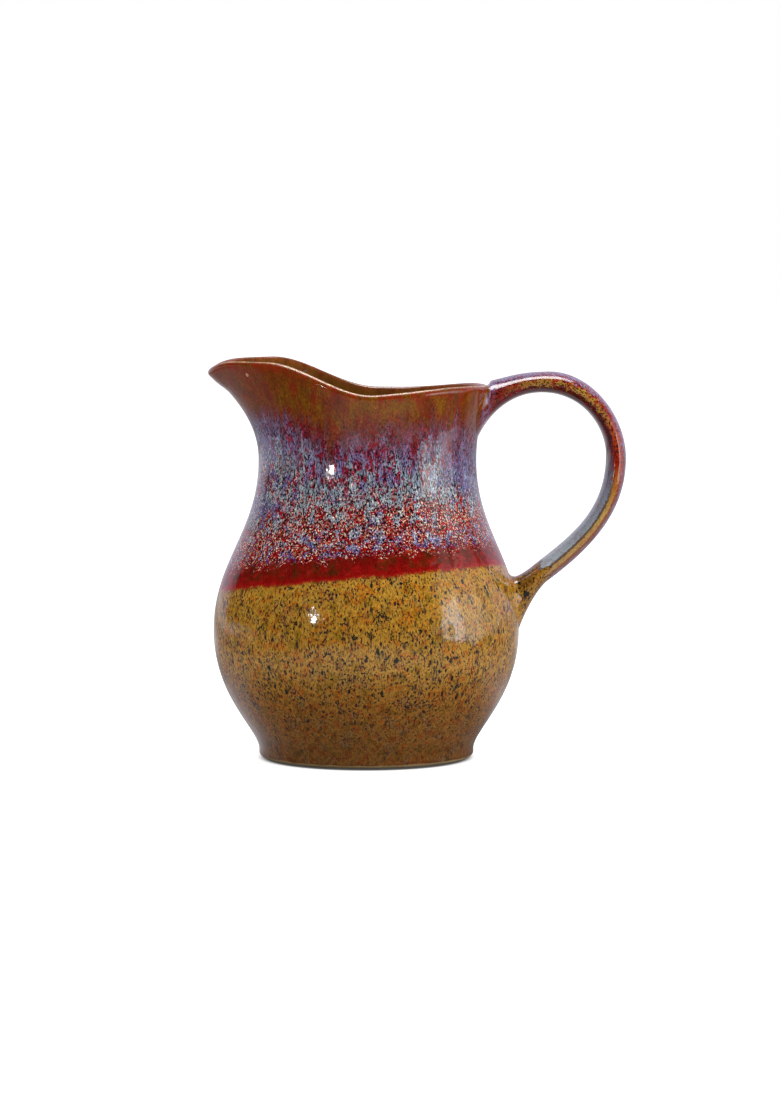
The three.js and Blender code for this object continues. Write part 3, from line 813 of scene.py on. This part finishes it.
def handleGlazeMaterial():
    g = strapGlaze
    material, tree, shader = newMaterial("handleGlaze")
    place = jugPlace(tree)
    _, depth, height = split(tree, place)
    run, face, rootAway = (attribute(tree, name) for name in ("strapRun", "strapFace", "rootAway"))

    # the tail wears the first dip; the blue ends in a round tongue, the gold runs on
    lower = ochreGlaze(tree, place, height)
    dull = spread(tree, rootAway, *g["lowerDullOver"])
    lower = tint(tree, dull, lower, g["lowerDull"], "MULTIPLY")
    tongue = spread(tree, face, *g["tongueRise"], 0.0, g["tongue"])
    tongue = minus(tree, tongue, spread(tree, face, *g["tongueFall"], 0.0, g["tongue"]))
    tongue = plus(tree, tongue, spread(tree, face, *g["goldFace"], 0.0, g["goldRun"]))
    back = spread(tree, maths(tree, "ABSOLUTE", depth), *g["backAcross"], *g["backRun"])
    tongue = plus(tree, tongue, times(tree, back, spread(tree, face, *g["backFace"])))
    waver = times(tree, swing(tree, place, g["dipWaverSize"], 3), g["dipWaver"])
    end = minus(tree, plus(tree, run, waver), tongue)
    dipped = spread(tree, end, g["dipEnd"], g["dipEnd"] + g["dipSoft"])
    base = tint(tree, dipped, strapColours(tree, place, run, face), lower)

    # pale and worn at the upper root, whose pressed-on edge wears the neck's own glaze
    top = spread(tree, run, *g["rootRun"], 1, 0)
    pale = cloud(tree, stretched(tree, place, 1, 1, 0.4), g["rootPaleSize"], 4, 0.65)
    pale = times(tree, spread(tree, rootAway, *g["rootPaleOver"], g["rootPaleStrength"], 0), top,
                 cover(tree, pale, g["rootPaleShare"], 0.06))
    base = tint(tree, pale, base, g["rootPale"])
    worn = cover(tree, cloud(tree, place, g["rootWornSize"], 3), g["rootWornShare"], 0.06)
    worn = times(tree, spread(tree, rootAway, *g["rootWornOver"], g["rootWornStrength"], 0),
                 spread(tree, face, *g["rootWornFace"]), top, worn)
    base = tint(tree, worn, base, g["rootWorn"])
    neck = speckledGlaze(tree, place, dipLevel(tree, place))
    base = tint(tree, times(tree, spread(tree, rootAway, *g["neckOver"], 1, 0), top), base, neck)
    rim = maths(tree, "ABSOLUTE", minus(tree, end, g["dipEnd"]))
    rim = spread(tree, rim, *g["dipRimEdge"], g["dipRimStrength"], 0)
    base = tint(tree, rim, base, g["dipRim"])
    feed(tree, shader.inputs["Base Color"], base)
    shader.inputs["Roughness"].default_value = glazeSurface["gloss"]
    glazeSkin(tree, place, shader)
    return material


def slipMaterial():
    material, tree, shader = newMaterial("firedSlip")
    grain = cloud(tree, jugPlace(tree), slip["grainSize"], 3)
    feed(tree, shader.inputs["Base Color"], tint(tree, grain, slip["deep"], slip["pale"]))
    shader.inputs["Roughness"].default_value = slip["roughness"]
    return material


bodyGlaze = bodyGlazeMaterial()
handleGlaze = handleGlazeMaterial()
firedSlip = slipMaterial()
print("glazes mixed")

bodyMesh = throwBody(jugBody)
wall = BVHTree.FromBMesh(bodyMesh)
body = placePiece("jug_body", bodyMesh, bodyGlaze, "body")

handleMesh = pullHandle(strap, wall)
closeEnds(strap, handleMesh)
handle = placePiece("jug_handle", handleMesh, handleGlaze, "handle")

upperSlip = placePiece("upper_slip", slipWafer(slip, wall, *slip["upper"]), firedSlip, "upper_slip_joint")
lowerSlip = placePiece("lower_slip", slipWafer(slip, wall, *slip["lower"]), firedSlip, "lower_slip_joint")


# the floor as the camera sees it, with a painted shadow around the foot, as light bounces from it and as the
# glaze mirrors it, a painted reflection, in metres;
# mirrored parts are from, to, and the brightness at each, or nought and one
studioFloor = {
    "size": 12.0, "roughness": 0.9, "bounce": 0.4,
    # a painted shadow around the foot: where it ends, how far forward it is shifted, and the floor's glow and
    # paleness near the foot and away
    "shadowEdge": (0.0453, 0.0507), "shadowForward": 0.0072,
    "nearGlow": 0.03, "farGlow": 0.84, "nearPale": 0.1, "farPale": 0.62,
    "mirrorTint": (0.95, 0.93, 1, 1),
    # painted reflection: what the glaze mirrors of the floor, with painted shade near the jug, by the foot
    # and beside the spout, darker beyond the front edge
    "jugShade": (0.1, 0.24, 0.2, 1.0), "frontEdge": (-0.58, -0.5, 0.04, 0.5),
    "frontSides": (0.14, 0.32, 1, 0.3), "frontToBack": (-0.05, 0.02),
    "behind": (0.11, 0.22, 0.6, 0.36), "farBehind": (0.2, 0.45, 0, 0.35),
    "leftBehind": (-0.28, -0.14, 0.1, 0), "rightBehind": (0.22, 0.36, 1, 0.55),
    "footShade": (0.06, 0.13, 0.7, 0), "footSide": (0, 0.04),
    "spoutShade": (-0.34, -0.2, 0.5, 0), "spoutShadeEnd": (-0.8, -0.5),
}


# painted reflection: the floor glows for glossy rays only, with painted shade near the jug, by the foot and
# beside the spout
def paintedFloorReflection(tree, f):
    place = objectPlace(tree)
    across, depth, _ = split(tree, place)
    far = distance(tree, place, (0, 0, 0))
    front = times(tree, spread(tree, far, *f["jugShade"]), spread(tree, depth, *f["frontEdge"]),
                  spread(tree, maths(tree, "ABSOLUTE", across), *f["frontSides"]))
    behind = plus(tree, spread(tree, far, *f["behind"]), spread(tree, depth, *f["farBehind"]))
    behind = plus(tree, behind, spread(tree, across, *f["leftBehind"]))
    near = times(tree, spread(tree, far, *f["footShade"]), spread(tree, across, *f["footSide"]))
    behind = times(tree, behind, spread(tree, across, *f["rightBehind"]), minus(tree, 1, near))
    both = between(tree, spread(tree, depth, *f["frontToBack"]), front, behind)
    dim = times(tree, spread(tree, across, *f["spoutShade"]), spread(tree, across, *f["spoutShadeEnd"]))
    return times(tree, both, minus(tree, 1, dim))


def layFloor(f):
    mesh = bmesh.new()
    bmesh.ops.create_grid(mesh, x_segments=1, y_segments=1, size=f["size"] / 2)
    data = bpy.data.meshes.new("studio_floor")
    mesh.to_mesh(data)
    floor = bpy.data.objects.new("studio_floor", data)
    bpy.context.scene.collection.objects.link(floor)
    material, tree, shader = newMaterial("studioFloor")
    shader.inputs["Roughness"].default_value = f["roughness"]
    shader.inputs["Specular IOR Level"].default_value = 0.0
    path = addNode(tree, "ShaderNodeLightPath")
    seen, glossy = path.outputs["Is Camera Ray"], path.outputs["Is Glossy Ray"]
    # painted shadow: near the foot the floor's colour and glow for the camera drop, in a ring shifted forward
    away = distance(tree, objectPlace(tree), (0, -f["shadowForward"], 0))
    away = spread(tree, away, *f["shadowEdge"])  # nought in the painted shadow around the foot
    pale = spread(tree, away, 0, 1, f["nearPale"], f["farPale"], False)
    bounce = tint(tree, glossy, (f["bounce"],) * 3 + (1,), (0, 0, 0, 1))
    feed(tree, shader.inputs["Base Color"], tint(tree, seen, bounce, pale))
    shown = times(tree, seen, spread(tree, away, 0, 1, f["nearGlow"], f["farGlow"], False))
    shown = plus(tree, shown, times(tree, glossy, paintedFloorReflection(tree, f)))
    glow = addNode(tree, "ShaderNodeEmission")
    feed(tree, glow.inputs["Strength"], shown)
    feed(tree, glow.inputs["Color"], tint(tree, glossy, (1, 1, 1, 1), f["mirrorTint"]))
    both = addNode(tree, "ShaderNodeAddShader")
    feed(tree, both.inputs[0], shader.outputs[0])
    feed(tree, both.inputs[1], glow.outputs[0])
    feed(tree, tree.nodes["Material Output"].inputs["Surface"], both.outputs[0])
    data.materials.append(material)


# the backdrop: white to look at, soft to light with, dark to mirror in front
backdrop = {
    "light": 0.6, "frontMirror": 0.02, "backMirror": 0.75, "mirrorTint": (0.86, 0.82, 1, 1),
    "edge": (0.36, 0.54), "leftTurn": (-0.2, 0.2, 0.22, 0.0),
}


def hangBackdrop(b):
    world = bpy.data.worlds.new("studio")
    bpy.context.scene.world = world
    world.use_nodes = True
    tree = world.node_tree
    back = tree.nodes["Background"]
    across, depth, _ = split(tree, addNode(tree, "ShaderNodeTexCoord").outputs["Generated"])
    turned = minus(tree, depth, spread(tree, across, *b["leftTurn"]))  # further round on the left
    mirror = spread(tree, turned, *b["edge"], b["frontMirror"], b["backMirror"])
    path = addNode(tree, "ShaderNodeLightPath")
    glossy = path.outputs["Is Glossy Ray"]
    light = spread(tree, glossy, 0, 1, b["light"], mirror, False)
    seen = maths(tree, "MAXIMUM", path.outputs["Is Camera Ray"], path.outputs["Is Transmission Ray"])
    feed(tree, back.inputs["Strength"], spread(tree, seen, 0, 1, light, 1.0, False))
    feed(tree, back.inputs["Color"], tint(tree, glossy, (1, 1, 1, 1), b["mirrorTint"]))


# place, aimed at, width, height, watts, whether it lights and whether the glaze mirrors it
studioLamps = {
    "keyLamp": ((-1.02, -1.28, 0.25), (0, 0, 0.1), 0.15, 0.08, 5.4, True, False),
    "keySpot": ((-0.196, -0.2713, 0.129), (-0.02, -0.05, 0.11), 0.028, 0.011, 0.075, False, True),
    "smallSpot": ((-0.1935, -0.2625, 0.156), (-0.02, -0.05, 0.11), 0.009, 0.005, 0.009, False, True),
    "topLight": ((0, 0.25, 1.5), (0, 0, 0.1), 0.9, 0.6, 10, True, True),
    "overheadCard": ((0.05, 0.3, 1.5), (0.05, 0, 0.15), 1.3, 0.8, 22, False, True),
}
# overlapping panes keep the window's edges soft: along from, to, low, high, brightness
studioWindow = {
    "corner": Vector((0.503, -0.327, 0)), "along": Vector((0.07, 0.998, 0)),
    "facing": Vector((-0.998, 0.07, 0)),
    "lightsTo": 0.3,  # panes that reach further along are only mirrored
    "panes": (
        (0.0, 0.165, 0.015, 0.24, 14.0), (0.007, 0.155, 0.02, 0.22, 14.0), (0.016, 0.13, 0.026, 0.18, 14.0),
        (0.028, 0.105, 0.034, 0.15, 14.0), (-0.02, 0.2, 0.1, 0.4, 2.4), (0.01, 0.22, 0.14, 0.44, 2.4),
        (0.09, 0.31, 0.0, 0.3, 3.6), (0.1, 0.36, 0.01, 0.36, 3.6),
        (-0.03, 0.42, 0.03, 0.24, 1.9), (0.0, 0.5, 0.02, 0.3, 1.9), (0.03, 0.58, 0.04, 0.36, 1.9),
    ),
}


def softbox(name, place, target, width, tall, power, lights, mirrored):
    lamp = bpy.data.lights.new(name, "AREA")
    lamp.shape = "RECTANGLE"
    lamp.size = width
    lamp.size_y = tall
    lamp.energy = power
    holder = bpy.data.objects.new(name, lamp)
    bpy.context.scene.collection.objects.link(holder)
    holder.location = place
    holder.rotation_euler = (Vector(target) - Vector(place)).to_track_quat("-Z", "Y").to_euler()
    holder.visible_diffuse = lights
    holder.visible_glossy = mirrored
    holder.visible_camera = False


def hangWindow(w):
    for near, far, low, high, bright in w["panes"]:
        middle = w["corner"] + w["along"] * (near + far) / 2 + Vector((0, 0, (low + high) / 2))
        power = bright * (far - near) * (high - low)
        softbox("windowLight", middle, middle + w["facing"], far - near, high - low, power,
                far < w["lightsTo"], True)


layFloor(studioFloor)
hangBackdrop(backdrop)
for name, settings in studioLamps.items():
    softbox(name, *settings)
hangWindow(studioWindow)
print("studio lit")

view = {"place": (0.01093, -1.9, 0.2515), "tip": 0.08335, "lens": 134.9}
camera = bpy.data.objects.new("camera", bpy.data.cameras.new("camera"))
bpy.context.scene.collection.objects.link(camera)
camera.location = view["place"]
camera.rotation_euler = (math.pi / 2 - view["tip"], 0, 0)
camera.data.lens = view["lens"]
bpy.context.scene.camera = camera
bpy.context.scene.view_settings.view_transform = "Standard"
print("camera set")
